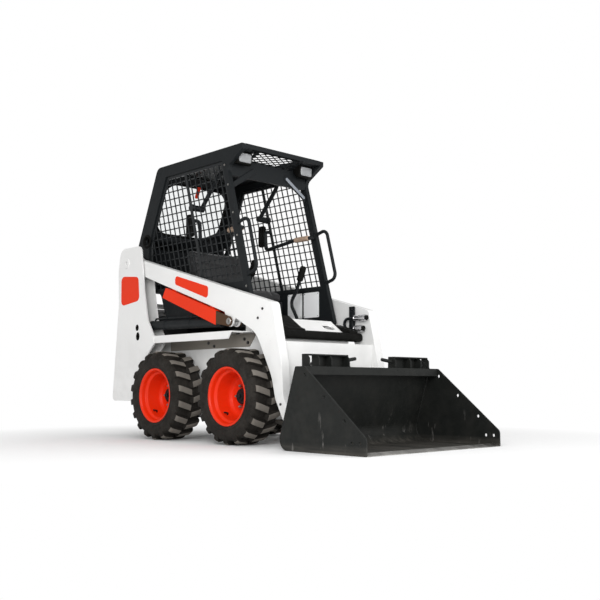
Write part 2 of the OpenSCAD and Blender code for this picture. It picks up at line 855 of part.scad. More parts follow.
module rim() {
    w = tyre_w / 2 - 10;
    lip = rim_r - 13;
    well = rim_r - 31;
    color("orangered") rotate([90, 0, 0]) {
        rotate_extrude() polygon([[0, disc - sheet], [104, disc - sheet], [well - 14, disc - 4],
            [well, disc + 20], [well, -w + 40], [lip - 6, -w + 12], [lip, -w], [rim_r, -w], [rim_r, w],
            [lip + 4, w], [lip - 4, w - 10], [lip - 6, w - 34], [well - 2, w - 44], [well - 6, disc + 24],
            [well - 18, disc + 4], [102, disc], [0, disc]]);
        translate([0, 0, disc - 2]) cylinder(h = 36, r = 44);
        for (i = [0:5]) rotate(i * 60) translate([70, 0, disc - 2]) cylinder(h = 16, r = 11, $fn = 6);
    }
}

module at_wheel(side, front) {
    place() translate([front * axle_x, side * wheel_y, wheel_z]) mirror([0, side > 0 ? 1 : 0, 0]) children();
}

module tyre_front_right() {
    at_wheel(-1, 1) tyre();
}

module rim_front_right() {
    at_wheel(-1, 1) rim();
}

module tyre_front_left() {
    at_wheel(1, 1) tyre();
}

module rim_front_left() {
    at_wheel(1, 1) rim();
}

module tyre_rear_right() {
    at_wheel(-1, -1) tyre();
}

module rim_rear_right() {
    at_wheel(-1, -1) rim();
}

module tyre_rear_left() {
    at_wheel(1, -1) tyre();
}

module rim_rear_left() {
    at_wheel(1, -1) rim();
}

main_frame();
fenders();
upright_right();
upright_left();
axle_tubes();
engine();
rear_grille();
step();
control_levers();
tail_lamps();
cab_side_right();
cab_side_left();
cab_rear();
rear_window();
cab_roof();
roof_screen();
cab_header();
side_screens();
work_lights();
grab_handles();
armrest_rails();
seat_base();
seat_cushion();
seat_back();
seat_bar();
arm_right();
arm_left();
arm_crossmember();
arm_prop();
couplers();
attach_plate();
attach_levers();
bucket_shell();
bucket_sides();
bucket_brackets();
cutting_edge();
lift_barrel_right();
lift_rod_right();
lift_barrel_left();
lift_rod_left();
tilt_barrel();
tilt_rod();
rear_door();
tyre_front_right();
rim_front_right();
tyre_front_left();
rim_front_left();
tyre_rear_right();
rim_rear_right();
tyre_rear_left();
rim_rear_left();
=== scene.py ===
"""Looks of a compact skid steer loader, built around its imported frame."""
import json
import math

import bmesh
import bpy
from mathutils import Matrix, Vector


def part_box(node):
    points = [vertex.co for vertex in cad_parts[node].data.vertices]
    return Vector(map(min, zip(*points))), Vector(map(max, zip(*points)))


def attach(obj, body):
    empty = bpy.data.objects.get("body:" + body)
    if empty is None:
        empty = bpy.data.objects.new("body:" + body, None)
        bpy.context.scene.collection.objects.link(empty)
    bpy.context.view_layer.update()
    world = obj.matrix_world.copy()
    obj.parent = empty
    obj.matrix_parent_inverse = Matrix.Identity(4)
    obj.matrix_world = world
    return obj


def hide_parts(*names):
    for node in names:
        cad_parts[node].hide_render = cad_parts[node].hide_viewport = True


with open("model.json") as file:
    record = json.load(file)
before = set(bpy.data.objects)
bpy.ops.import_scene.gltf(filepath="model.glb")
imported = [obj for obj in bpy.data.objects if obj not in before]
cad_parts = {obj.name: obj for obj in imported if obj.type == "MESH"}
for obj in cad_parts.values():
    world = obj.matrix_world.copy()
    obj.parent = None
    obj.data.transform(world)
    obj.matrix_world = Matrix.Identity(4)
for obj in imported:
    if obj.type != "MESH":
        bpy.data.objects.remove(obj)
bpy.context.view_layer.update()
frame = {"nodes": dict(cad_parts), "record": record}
nodes = frame["nodes"]

# Camera of the photograph, in metres and degrees
CAMERA_AT = Vector((4.1382, -3.7186, 0.3379))
CAMERA_TURN = math.radians(46.576)
CAMERA_PITCH = math.radians(5.537)
LENS_MM = 53.175

# Colours, linear
WHITE = (0.84, 0.84, 0.83)
CHARCOAL = (0.011, 0.0128, 0.0140)
SOOT = (0.010, 0.011, 0.010)
RED = (0.80, 0.034, 0.003)
RIM_RED = (0.80, 0.030, 0.003)
# Dark brown of the arm prop's front end
PROP_FRONT_BROWN = (0.065, 0.032, 0.014)
# Painted shade: dark grey of the plates that stand in for the fenders' shadow on the tub's sides
SHADE_PLATE_GREY = (0.25, 0.23, 0.20)
TAN = (0.42, 0.30, 0.22)
RUBBER = (0.013, 0.011, 0.009)
DUST = (0.18, 0.163, 0.142)
STEEL = (0.42, 0.41, 0.39)
DARK_STEEL = (0.10, 0.10, 0.10)
CHROME = (0.72, 0.72, 0.73)
BARE_PLATE = (0.92, 0.93, 0.94)
# Painted reflection: pale grey of the shine on the left corner brace of the header
BRACE_REFLECTION_GREY = (0.24, 0.26, 0.29)


# Shaders

# Places of the colour sockets on a mix node: the two inputs and the output
MIX_UNDER, MIX_OVER, MIX_RESULT = 6, 7, 2


class Shader:
    """A material with a Principled surface and short ways to add texture nodes to it."""

    def __init__(self, name, colour, roughness, metallic=0.0, **sockets):
        self.material = bpy.data.materials.new(name)
        self.material.use_nodes = True
        self.tree = self.material.node_tree
        self.surface = self.tree.nodes["Principled BSDF"]
        self.set("Base Color", (*colour, 1.0))
        self.set("Roughness", roughness)
        self.set("Metallic", metallic)
        for socket, value in sockets.items():
            self.set(socket.replace("_", " ").title().replace("Ior", "IOR"), value)
        self.place = self.add("ShaderNodeTexCoord").outputs["Object"]

    def set(self, socket, value):
        self.surface.inputs[socket].default_value = value

    def add(self, kind, **values):
        node = self.tree.nodes.new(kind)
        for key, value in values.items():
            setattr(node, key, value)
        return node

    def link(self, source, target):
        self.tree.links.new(source, target)

    def noise(self, scale, detail=4.0, rough=0.55, stretch=(1, 1, 1)):
        node = self.add("ShaderNodeTexNoise")
        node.inputs["Scale"].default_value = scale
        node.inputs["Detail"].default_value = detail
        node.inputs["Roughness"].default_value = rough
        mapping = self.add("ShaderNodeMapping")
        mapping.inputs["Scale"].default_value = stretch
        self.link(self.place, mapping.inputs["Vector"])
        self.link(mapping.outputs["Vector"], node.inputs["Vector"])
        return node.outputs["Fac"]

    def ramp(self, source, low, high, to_low=0.0, to_high=1.0):
        node = self.add("ShaderNodeMapRange")
        for key, value in zip(("From Min", "From Max", "To Min", "To Max"), (low, high, to_low, to_high)):
            node.inputs[key].default_value = value
        self.link(source, node.inputs["Value"])
        return node.outputs["Result"]

    def times(self, a, b):
        node = self.add("ShaderNodeMath", operation="MULTIPLY", use_clamp=True)
        self.link(a, node.inputs[0])
        self.link(b, node.inputs[1])
        return node.outputs["Value"]

    def along(self, axis):
        """The place along one axis of the frame, in metres."""
        node = self.add("ShaderNodeSeparateXYZ")
        self.link(self.place, node.inputs["Vector"])
        return node.outputs[axis]

    def mix_colour(self, factor, other):
        """Lays another colour over what the surface has so far."""
        node = self.add("ShaderNodeMix", data_type="RGBA")
        old = self.surface.inputs["Base Color"]
        node.inputs[MIX_UNDER].default_value = old.default_value
        if old.is_linked:
            self.link(old.links[0].from_socket, node.inputs[MIX_UNDER])
        node.inputs[MIX_OVER].default_value = (*other, 1.0)
        self.link(factor, node.inputs["Factor"])
        self.link(node.outputs[MIX_RESULT], old)

    def vary_roughness(self, source, low, high):
        self.link(self.ramp(source, 0.3, 0.7, low, high), self.surface.inputs["Roughness"])

    def bump(self, source, depth, strength):
        node = self.add("ShaderNodeBump")
        node.inputs["Distance"].default_value = depth
        node.inputs["Strength"].default_value = strength
        self.link(source, node.inputs["Height"])
        old = self.surface.inputs["Normal"]
        if old.is_linked:
            self.link(old.links[0].from_socket, node.inputs["Normal"])
        self.link(node.outputs["Normal"], old)


def painted(name, colour, roughness, dust=0.25, coat=0.3, gloss=0.5):
    """Sprayed paint: fine orange peel, faint mottling and a little dust low down."""
    s = Shader(name, colour, roughness, coat_weight=coat, coat_roughness=0.12, specular_ior_level=gloss)
    s.mix_colour(s.ramp(s.noise(2.2), 0.35, 0.7, 0.0, 0.5), tuple(c * 0.86 for c in colour))
    low = s.ramp(s.along("Z"), 0.05, 0.75, 1.0, 0.0)
    s.mix_colour(s.times(low, s.ramp(s.noise(9.0, 8.0), 0.45, 0.75, 0.0, dust)), DUST)
    s.vary_roughness(s.noise(30.0), roughness * 0.8, roughness * 1.25)
    s.bump(s.noise(420.0, 2.0), 0.0004, 0.25)
    return s


def paint(*args, **values):
    """The material of a sprayed paint."""
    return painted(*args, **values).material


def two_tone_paint(name, colour, other, start):
    """Paint that ends at a place along the machine, with another colour in front of it."""
    s = painted(name, colour, 0.4, coat=0.0, gloss=0.2)
    s.mix_colour(s.ramp(s.along("X"), start, start + 0.002), other)
    return s.material


def scuffed_paint(name, colour):
    """Black paint of a digging tool: pale upright scuffs low on it and dry soil rubbed along its floor."""
    s = painted(name, colour, 0.5, dust=0.06, coat=0.0, gloss=0.22)
    low = s.ramp(s.along("Z"), 0.06, 0.24, 1.0, 0.0)
    scuffs = s.ramp(s.noise(26.0, 5.0, 0.6, (1, 1, 0.25)), 0.62, 0.72, 0.0, 0.6)
    s.mix_colour(s.times(low, scuffs), (0.22, 0.21, 0.20))
    floor = s.ramp(s.along("Z"), 0.012, 0.05, 1.0, 0.0)
    s.mix_colour(s.times(floor, s.ramp(s.noise(34.0, 6.0, 0.6, (0.08, 1, 1)), 0.35, 0.65, 0.1, 0.75)),
                 (0.085, 0.078, 0.068))
    return s.material


def worn_metal(name, colour, roughness, scratches=60.0):
    """Bare or rubbed steel with long fine scratches and darker patches."""
    s = Shader(name, colour, roughness, metallic=1.0)
    s.mix_colour(s.ramp(s.noise(7.0, 8.0), 0.42, 0.7, 0.0, 0.7), tuple(c * 0.45 for c in colour))
    lines = s.ramp(s.noise(scratches, 6.0, 0.6, (1, 0.06, 1)), 0.55, 0.7, 0.0, 0.5)
    s.mix_colour(lines, tuple(c * 1.3 for c in colour))
    s.vary_roughness(s.noise(24.0), roughness * 0.7, roughness * 1.4)
    s.bump(s.noise(scratches * 3, 4.0, 0.6, (1, 0.05, 1)), 0.0005, 0.3)
    return s.material


def rubber(name, colour, roughness, dust, least=0.0, gloss=0.2):
    """Matt rubber with a fine grain and dry dust in patches."""
    s = Shader(name, colour, roughness, specular_ior_level=gloss)
    s.mix_colour(s.ramp(s.noise(14.0, 8.0), 0.4, 0.72, least, dust), DUST)
    s.mix_colour(s.ramp(s.noise(90.0, 4.0), 0.5, 0.8, 0.0, dust * 0.6), DUST)
    s.vary_roughness(s.noise(40.0), roughness * 0.85, min(1.0, roughness * 1.2))
    s.bump(s.noise(600.0, 3.0), 0.0006, 0.35)
    return s.material


def vinyl(name, colour):
    """Seat covering: a fine leather grain."""
    s = Shader(name, colour, 0.55, sheen_weight=0.15)
    cells = s.add("ShaderNodeTexVoronoi", feature="F1")
    cells.inputs["Scale"].default_value = 420.0
    s.link(s.place, cells.inputs["Vector"])
    s.bump(cells.outputs["Distance"], 0.0006, 0.5)
    s.mix_colour(s.ramp(s.noise(6.0, 6.0), 0.4, 0.75, 0.0, 0.35), tuple(c * 1.9 for c in colour))
    s.vary_roughness(s.noise(22.0), 0.45, 0.65)
    return s.material


def lens(name, colour, transmission):
    """Moulded lamp lens with fine upright flutes."""
    s = Shader(name, colour, 0.12, transmission_weight=transmission, coat_weight=0.5)
    wave = s.add("ShaderNodeTexWave", bands_direction="Y")
    wave.inputs["Scale"].default_value = 60.0
    s.link(s.place, wave.inputs["Vector"])
    s.bump(wave.outputs["Fac"], 0.001, 0.4)
    s.mix_colour(s.ramp(s.noise(30.0), 0.4, 0.8, 0.0, 0.3), tuple(c * 0.7 for c in colour))
    return s.material


def window_glass(name):
    """Clear window pane, faintly dusty."""
    s = Shader(name, (0.93, 0.95, 0.95), 0.03, transmission_weight=0.97, ior=1.15)
    s.mix_colour(s.ramp(s.noise(5.0, 6.0), 0.5, 0.8, 0.0, 0.2), (0.78, 0.78, 0.76))
    s.vary_roughness(s.noise(12.0), 0.02, 0.06)
    return s.material


PROP_PAINT_END = -0.0605
white_paint = paint("white_paint", WHITE, 0.34)
black_paint = paint("black_paint", CHARCOAL, 0.45, dust=0.08, coat=0.0, gloss=0.14)
wire_paint = paint("wire_paint", CHARCOAL, 0.4, dust=0.0, coat=0.05, gloss=0.3)
# Painted reflection on the left corner brace of the header
brace_reflection_paint = paint("brace_reflection_paint", BRACE_REFLECTION_GREY, 0.4, dust=0.0, coat=0.0)
# Painted shade for the tub's sides under the fenders
shade_plate_paint = paint("shade_plate_paint", SHADE_PLATE_GREY, 0.5, dust=0.1, coat=0.0, gloss=0.2)
bucket_paint = scuffed_paint("bucket_paint", SOOT)
red_paint = paint("red_paint", RED, 0.36, coat=0.0, gloss=0.2)
# The arm prop is dark brown in front of PROP_PAINT_END
prop_paint = two_tone_paint("prop_paint", RED, PROP_FRONT_BROWN, PROP_PAINT_END)
rim_paint = paint("rim_paint", RIM_RED, 0.42, dust=0.05, coat=0.0, gloss=0.25)
worn_steel = worn_metal("worn_steel", STEEL, 0.4)
dark_steel = worn_metal("dark_steel", DARK_STEEL, 0.45)
bright_steel = worn_metal("bright_steel", CHROME, 0.16, scratches=25.0)
bare_plate = paint("bare_plate", BARE_PLATE, 0.4, dust=0.1, coat=0.1)
tyre_rubber = rubber("tyre_rubber", RUBBER, 0.75, dust=0.08)
tread_rubber = rubber("tread_rubber", (0.125, 0.112, 0.098), 0.8, dust=0.9, least=0.45)
black_rubber = rubber("black_rubber", (0.004, 0.004, 0.0035), 0.6, dust=0.015, gloss=0.08)
tan_rubber = rubber("tan_rubber", TAN, 0.6, dust=0.15)
seat_vinyl = vinyl("seat_vinyl", (0.009, 0.009, 0.010))
lamp_lens = lens("lamp_lens", (0.40, 0.41, 0.42), 0.35)
red_lens = lens("red_lens", (0.50, 0.010, 0.008), 0.2)
clear_glass = window_glass("clear_glass")

FINISH = {
    "white_paint": white_paint, "black_paint": black_paint, "red_paint": red_paint, "rim_paint": rim_paint,
    "worn_steel": worn_steel, "bright_steel": bright_steel, "tyre": tyre_rubber, "black_rubber": black_rubber,
    "vinyl": seat_vinyl, "lamp_lens": lamp_lens, "red_lens": red_lens, "clear_glass": clear_glass,
}
OWN_FINISH = {
    "bucket_shell": bucket_paint, "bucket_sides": bucket_paint, "bucket_brackets": bucket_paint,
    "attach_plate": bucket_paint, "attach_levers": bucket_paint, "arm_prop": prop_paint,
    "couplers": black_paint, "side_screens": wire_paint,
}


# Solids of the frame

SHARP_ANGLE = math.radians(35.0)


def soften(obj, width):
    """Rounds the sharp edges of a solid and keeps its flat faces flat in shading."""
    for face in obj.data.polygons:
        face.use_smooth = True
    obj.modifiers.new("weld", "WELD").merge_threshold = 1e-5
    flat = obj.modifiers.new("flat", "DECIMATE")
    flat.decimate_type = "DISSOLVE"
    flat.angle_limit = math.radians(0.5)
    edge = obj.modifiers.new("edge", "BEVEL")
    edge.width = width
    edge.segments = 2
    edge.limit_method = "ANGLE"
    edge.angle_limit = SHARP_ANGLE
    obj.modifiers.new("shade", "WEIGHTED_NORMAL").weight = 80


EDGE = 0.0025
FINE_EDGE = 0.0008
FINE_NODES = (
    "side_screens", "roof_screen", "rear_window", "control_levers", "grab_handles", "armrest_rails",
    "seat_bar")
for part in frame["record"]["subparts"]:
    solid = nodes[part["node"]]
    solid.data.materials.clear()
    solid.data.materials.append(OWN_FINISH.get(part["node"], FINISH[part["material_slot"]]))
    soften(solid, FINE_EDGE if part["node"] in FINE_NODES else EDGE)


# Building pieces: places are in millimetres, x forward from midway between the axles

MIDDLE = -222.5
TOP_VIEW = Matrix.Translation((MIDDLE, 0, 0))
SIDE_VIEW = Matrix(((1, 0, 0, MIDDLE), (0, 0, 1, 0), (0, 1, 0, 0), (0, 0, 0, 1)))
SIDES = (-1, 1)


def link(obj):
    """Puts an object into the scene."""
    bpy.context.scene.collection.objects.link(obj)
    return obj


def spot(point, axis):
    """Takes a local z axis to a direction at a point."""
    return TOP_VIEW @ Matrix.Translation(point) @ Vector(axis).to_track_quat("Z", "Y").to_matrix().to_4x4()


def outward(x, y, z, side):
    """Takes a local z axis straight out from one side of the machine, with local x forward and y up."""
    return Matrix(((1, 0, 0, x + MIDDLE), (0, 0, side, y), (0, 1, 0, z), (0, 0, 0, 1)))


def fillet(points, radius, loop=False, steps=6):
    """Rounds the corners of a path."""
    points = [Vector(p) for p in points]
    path = []
    for i, p in enumerate(points):
        if not loop and i in (0, len(points) - 1):
            path.append(p)
            continue
        back = (points[i - 1] - p).normalized()
        ahead = (points[(i + 1) % len(points)] - p).normalized()
        half = back.angle(ahead) / 2
        centre = p + (back + ahead).normalized() * (radius / math.sin(half))
        cut = radius / math.tan(half)
        for k in range(steps + 1):
            way = (p + back * cut - centre).lerp(p + ahead * cut - centre, k / steps)
            path.append(centre + way.normalized() * radius)
    return path


class Form:
    """A mesh gathered from turned, cut and swept shapes."""

    def __init__(self):
        self.points = []
        self.faces = []

    def add(self, points, faces, place):
        start = len(self.points)
        self.points += [place @ Vector(p) for p in points]
        self.faces += [[start + k for k in face] for face in faces]

    def rings(self, points, count, across, place, loop_along, loop_across=True):
        """Skins rows of points, each row having the same number of points across."""
        faces = []
        for i in range(count if loop_along else count - 1):
            here, there = i * across, (i + 1) % count * across
            for k in range(across if loop_across else across - 1):
                k_next = (k + 1) % across
                faces.append((here + k, here + k_next, there + k_next, there + k))
        self.add(points, faces, place)

    def turn(self, profile, place, sides):
        """Turns (radius, height) points about the local z axis."""
        points = [(r * math.cos(a), r * math.sin(a), h)
                  for a in (i * math.tau / sides for i in range(sides)) for r, h in profile]
        self.rings(points, sides, len(profile), place, True, False)

    def cut(self, outline, low, high, place):
        """An outline made solid between two heights."""
        n = len(outline)
        points = [(p[0], p[1], h) for h in (low, high) for p in outline]
        faces = [range(n), range(n, 2 * n)]
        faces += [(i, (i + 1) % n, n + (i + 1) % n, n + i) for i in range(n)]
        self.add(points, faces, place)

    def slab(self, outline, low, high):
        """An x-z outline made solid from one y to another."""
        self.cut(outline, low, high, SIDE_VIEW)

    def sweep(self, path, radius, up=(0, 1, 0), sides=10, loop=False, flat=1.0, ripple=0.0):
        """A round bar along a path; flat squeezes it along up, ripple swells every other ring."""
        path = [Vector(p) for p in path]
        last = len(path) - 1
        points = []
        for i, p in enumerate(path):
            ahead = path[(i + 1) % len(path)] if loop else path[min(i + 1, last)]
            back = path[i - 1] if loop or i else path[0]
            way = (ahead - back).normalized()
            u = Vector(up).cross(way).normalized()
            v = way.cross(u)
            r = radius * (1 + ripple * (i % 2))
            points += [p + u * (r * math.cos(a)) + v * (r * flat * math.sin(a))
                       for a in (k * math.tau / sides for k in range(sides))]
        self.rings(points, len(path), sides, TOP_VIEW, loop)
        if not loop:
            start = len(self.points) - len(points)
            self.faces += [[first + k for k in range(sides)] for first in (start, start + last * sides)]

    def weld_bead(self, path, radius, up=(0, 1, 0), step=5.0):
        """A rippled bead along a path."""
        dense = []
        for a, b in zip(path, path[1:]):
            a, b = Vector(a), Vector(b)
            parts = max(1, round((b - a).length / step))
            dense += [a.lerp(b, k / parts) for k in range(parts)]
        self.sweep(dense + [Vector(path[-1])], radius, up, 6, ripple=0.22)

    def bolt(self, place, size):
        """A hexagon head on a washer; size is the thread's diameter."""
        washer, head, crown = size * 1.15, size * 0.95, size * 0.8
        thick, shoulder, top = size * 0.2, size * 0.72, size * 0.85
        self.turn([(0, -1), (washer, -1), (washer, thick), (0, thick)], place, 18)
        self.turn([(0, 0), (head, 0), (head, shoulder), (crown, top), (0, top)], place, 6)

    def mesh(self, name, finish):
        """What was gathered, as one mesh that is smooth between its sharp edges."""
        mesh = bpy.data.meshes.new(name)
        mesh.from_pydata([p / 1000 for p in self.points], [], self.faces)
        work = bmesh.new()
        work.from_mesh(mesh)
        bmesh.ops.remove_doubles(work, verts=work.verts, dist=1e-6)
        bmesh.ops.recalc_face_normals(work, faces=work.faces)
        work.to_mesh(mesh)
        work.free()
        mesh.shade_smooth()
        mesh.set_sharp_from_angle(angle=SHARP_ANGLE)
        mesh.materials.append(finish)
        return mesh

    def piece(self, name, finish, body, slot, replaced=(), edge=0.0):
        """Makes the piece and lets it ride on a body; edge rounds its sharp edges."""
        obj = link(bpy.data.objects.new(name, self.mesh(name, finish)))
        if edge:
            soften(obj, edge / 1000)
        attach(obj, body)
        if replaced:
            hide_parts(*replaced)


# Wheels

AXLE_X, WHEEL_Y, WHEEL_Z = 362.0, 420.0, 278.0
TYRE_HALF = 108.0
LUGS = 18
LUG_LEAN = math.radians(7.0)
TYRE_SHARP = math.radians(38.0)
# The wheel disc's outer face along the axle, its nuts, and how far round the valve is
DISC = -52.0
NUTS, NUT_RING = 6, 70
VALVE_TURN = math.radians(-128.0)
# Lugs are rubbed from this far in and this far out, where they have nearly their full height
RUB_INSET, RUB_RADIUS, RUB_SHARE = 10, 260, 0.9
# Half section from the bead to the middle: in from the side, radius between lugs, radius on a lug
TYRE_SECTION = (
    (12, 171.6, 171.6), (5, 180, 180), (1.5, 186.5, 186.5), (0.5, 190, 190), (3, 193.5, 193.5), (2, 200, 200),
    (0, 212, 212), (0.5, 224, 225), (3, 233, 236), (6, 240, 262), (10, 247, 268.5), (18, 252.5, 274.5),
    (30, 255.5, 277.5), (63, 256, 278), (102, 256, 278))
# Height share of a lug at places along one pitch; the other row is half a pitch on
LUG_SHAPE = (
    (0, 0.92), (0.03, 1), (0.19, 1), (0.35, 1), (0.38, 0.92), (0.41, 0.06), (0.47, 0), (0.5, 0), (0.53, 0),
    (0.69, 0), (0.85, 0), (0.88, 0), (0.91, 0), (0.97, 0.06))


def tyre(name, front, side, node, body):
    """Tyre with two rows of swept lugs; the tops of the lugs are rubbed and dusty."""
    steps = len(LUG_SHAPE)
    half = len(TYRE_SECTION)
    across = 2 * half
    points, shares = [], []
    for i in range(LUGS * steps):
        place, own = LUG_SHAPE[i % steps]
        other = LUG_SHAPE[(i + steps // 2) % steps][1]
        turn = (i // steps + place) * math.tau / LUGS
        for k in range(across):
            inset, low, high = TYRE_SECTION[k if k < half else across - 1 - k]
            share = own if k < half else other
            r = low + (high - low) * share
            out = TYRE_HALF - inset
            a = turn + LUG_LEAN * out / TYRE_HALF
            points.append((r * math.cos(a), r * math.sin(a), out if k < half else -out))
            shares.append(share if inset >= RUB_INSET and high > RUB_RADIUS else 0.0)
    form = Form()
    form.rings(points, LUGS * steps, across, outward(front * AXLE_X, side * WHEEL_Y, WHEEL_Z, side), True)
    tops = [min(shares[k] for k in face) > RUB_SHARE for face in form.faces]
    mesh = bpy.data.meshes.new(name)
    mesh.from_pydata([p / 1000 for p in form.points], [], form.faces)
    if side < 0:
        mesh.flip_normals()
    mesh.materials.append(tyre_rubber)
    mesh.materials.append(tread_rubber)
    for face, top in zip(mesh.polygons, tops):
        face.material_index = int(top)
    mesh.shade_smooth()
    mesh.set_sharp_from_angle(angle=TYRE_SHARP)
    obj = link(bpy.data.objects.new(name, mesh))
    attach(obj, body)
    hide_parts(node)


def hub(form, nuts, front, side):
    """Black hub cap over the wheel's boss, six wheel nuts on studs, and the valve on the rim's well."""
    place = outward(front * AXLE_X, side * WHEEL_Y, WHEEL_Z, side)
    form.turn([(0, -40), (47, -40), (47, -22), (43, -14), (31, -10), (27, -3), (0, -3)], place, 40)
    form.turn([(0, -6), (14, -6), (14, 6), (11, 9), (0, 9)], place, 6)
    for i in range(NUTS):
        a = i * math.tau / NUTS
        seat = place @ Matrix.Translation((NUT_RING * math.cos(a), NUT_RING * math.sin(a), DISC))
        nuts.turn([(0, -1), (13, -1), (13, 3), (10.8, 6), (10.8, 17), (9, 19.5), (0, 19.5)], seat, 6)
        nuts.turn([(0, 10), (5.5, 10), (5.5, 26), (4.5, 27), (0, 27)], seat, 12)
    along, up = math.cos(VALVE_TURN), math.sin(VALVE_TURN)
    valve = [place @ Vector((r * along, r * up, h)) - Vector((MIDDLE, 0, 0))
             for r, h in ((138, 18), (124, 20), (118, 52))]
    form.sweep(fillet(valve, 8), 4.5, (up, 0, along))


for front, end in ((1, "front"), (-1, "rear")):
    for side, hand in ((-1, "right"), (1, "left")):
        wheel = f"{end}_{hand}"
        tyre("tread_" + wheel, front, side, "tyre_" + wheel, "wheel_" + wheel)
        cap, nuts = Form(), Form()
        hub(cap, nuts, front, side)
        cap.piece("hub_" + wheel, black_paint, "wheel_" + wheel, "black_paint")
        nuts.piece("nuts_" + wheel, worn_steel, "wheel_" + wheel, "worn_steel")


# Chassis: how far out the uprights, the arms and the dark plates of painted shade under the fenders reach,
# and an axle flange's bolts

UPRIGHT_Y = 450
ARM_Y = 430
SHADE_PLATE_Y = 299
FLANGE_Y = 309
FLANGE_BOLTS, FLANGE_RING = 8, 64


def plain_panels():
    """Plain red panels with round corners on the uprights and the arms."""
    uprights, arms = Form(), Form()
    on_upright = fillet([(-878, 1085), (-668, 1066), (-652, 905), (-874, 880)], 34, True)
    on_arm = fillet([(-275, 1040), (70, 943), (70, 868), (-275, 983)], 20, True)
    for side in SIDES:
        uprights.slab(on_upright, side * (UPRIGHT_Y - 1), side * (UPRIGHT_Y + 1))
        arms.slab(on_arm, side * (ARM_Y - 1), side * (ARM_Y + 1))
    uprights.piece("upright_panels", red_paint, "chassis", "red_paint", edge=0.4)
    arms.piece("arm_panels", red_paint, "lift_arms", "red_paint", edge=0.4)


def chassis_bolts():
    """Bolts of the fenders, the dark plates of painted shade under them, the rear corners and the four axle
    flanges.
    """
    dark = Form()
    for side in SIDES:
        for x in (-405, -89, 120, 264):
            dark.bolt(spot((x, side * 352, 652), (0, 0, -1)), 10)
        for x, z in ((-89, 606), (-32, 585), (264, 618), (295, 596)):
            dark.bolt(outward(x, side * SHADE_PLATE_Y, z, side), 9)
        for z in (430, 460):
            dark.bolt(spot((-900, side * 300, z), (-1, 0, 0)), 8)
        for i in range(FLANGE_BOLTS):
            a = (i + 0.5) * math.tau / FLANGE_BOLTS
            along, up = FLANGE_RING * math.cos(a), FLANGE_RING * math.sin(a)
            for axle in SIDES:
                dark.bolt(outward(axle * AXLE_X + along, side * FLANGE_Y, WHEEL_Z + up, side), 8)
    dark.piece("chassis_bolts", dark_steel, "chassis", "worn_steel")


def painted_shade_plates():
    """Dark grey plates of painted shade on the tub's sides under the fenders, where the fenders shadow the
    tub, and a black pad on the right end of the sill.
    """
    plates, pad = Form(), Form()
    plate = fillet([(-500, 651), (372, 651), (310, 572), (-500, 566)], 10, True)
    for side in SIDES:
        plates.slab(plate, side * (SHADE_PLATE_Y - 5), side * SHADE_PLATE_Y)
    sill = [(444, 742), (566, 654), (604, 654), (604, 672), (572, 682), (456, 760)]
    pad.slab(fillet(sill, 5, True), -249, -118)
    plates.piece("painted_shade_plates", shade_plate_paint, "chassis", "black_paint", edge=1)
    pad.piece("sill_pad", black_rubber, "chassis", "black_rubber", edge=3)


TIE_STEPS = 36
# The cup in a tie hole: radius and height of each turn, from the mouth to the floor and back
TIE_CUP = ((12, 2), (11.8, -11.4), (0, -11.4), (0, -11.8), (12.2, -11.8), (12.2, -1))


def tie_grommets():
    """Black oval rubber rings round the two tie holes in each upright, lining them as thin cups."""
    form = Form()
    turns = [i * math.tau / TIE_STEPS for i in range(TIE_STEPS)]
    for side in SIDES:
        for x, z, wide, high in ((-672, 724, 17, 21), (-663, 666, 19, 27)):
            section = [(wide, high, -1), (wide, high, 2), (wide * 0.9, high * 0.9, 3)]
            section += [(r, r, h) for r, h in TIE_CUP]
            ring = [(a * math.cos(turn), b * math.sin(turn), h) for turn in turns for a, b, h in section]
            form.rings(ring, TIE_STEPS, len(section), outward(x, side * UPRIGHT_Y, z, side), True)
    form.piece("tie_grommets", black_rubber, "chassis", "black_rubber")


UPRIGHT_FOOT_X, UPRIGHT_FOOT_Z = -955, 262
UPRIGHT_LEAN = 25 / 308


def upright_rear(z):
    """Rear edge of the uprights at a height: it leans forward from its foot."""
    return UPRIGHT_FOOT_X + (z - UPRIGHT_FOOT_Z) * UPRIGHT_LEAN


def lamp_bezels():
    """Black frames behind the tail lamps."""
    form = Form()
    low, high = 392, 498
    outline = [(upright_rear(low) + 2, low), (upright_rear(high) + 2, high),
               (upright_rear(high) - 9, high), (upright_rear(low) - 9, low)]
    for side in SIDES:
        form.slab(outline, side * 374, side * 437)
    form.piece("lamp_bezels", black_rubber, "chassis", "black_rubber", edge=2)


def door_latch():
    """Flush pull and lock on the free edge of the rear door."""
    form, lock = Form(), Form()
    face = spot((-1035, -282, 640), (-1, 0, 0))
    form.cut(fillet([(-34, -62), (34, -62), (34, 62), (-34, 62)], 16, True), -2, 5, face)
    form.cut(fillet([(-20, -46), (20, -46), (20, 10), (-20, 10)], 10, True), 4, 9, face)
    lock.turn([(0, 4), (11, 4), (11, 8), (8, 9), (0, 9)], face @ Matrix.Translation((0, 36, 0)), 20)
    for x in (-26, 26):
        for y in (-54, 54):
            lock.turn([(0, 4), (4, 4), (3.4, 7), (0, 7.6)], face @ Matrix.Translation((x, y, 0)), 12)
    form.piece("door_pull", black_rubber, "rear_door", "black_rubber", edge=1.5)
    lock.piece("door_lock", bright_steel, "rear_door", "bright_steel")


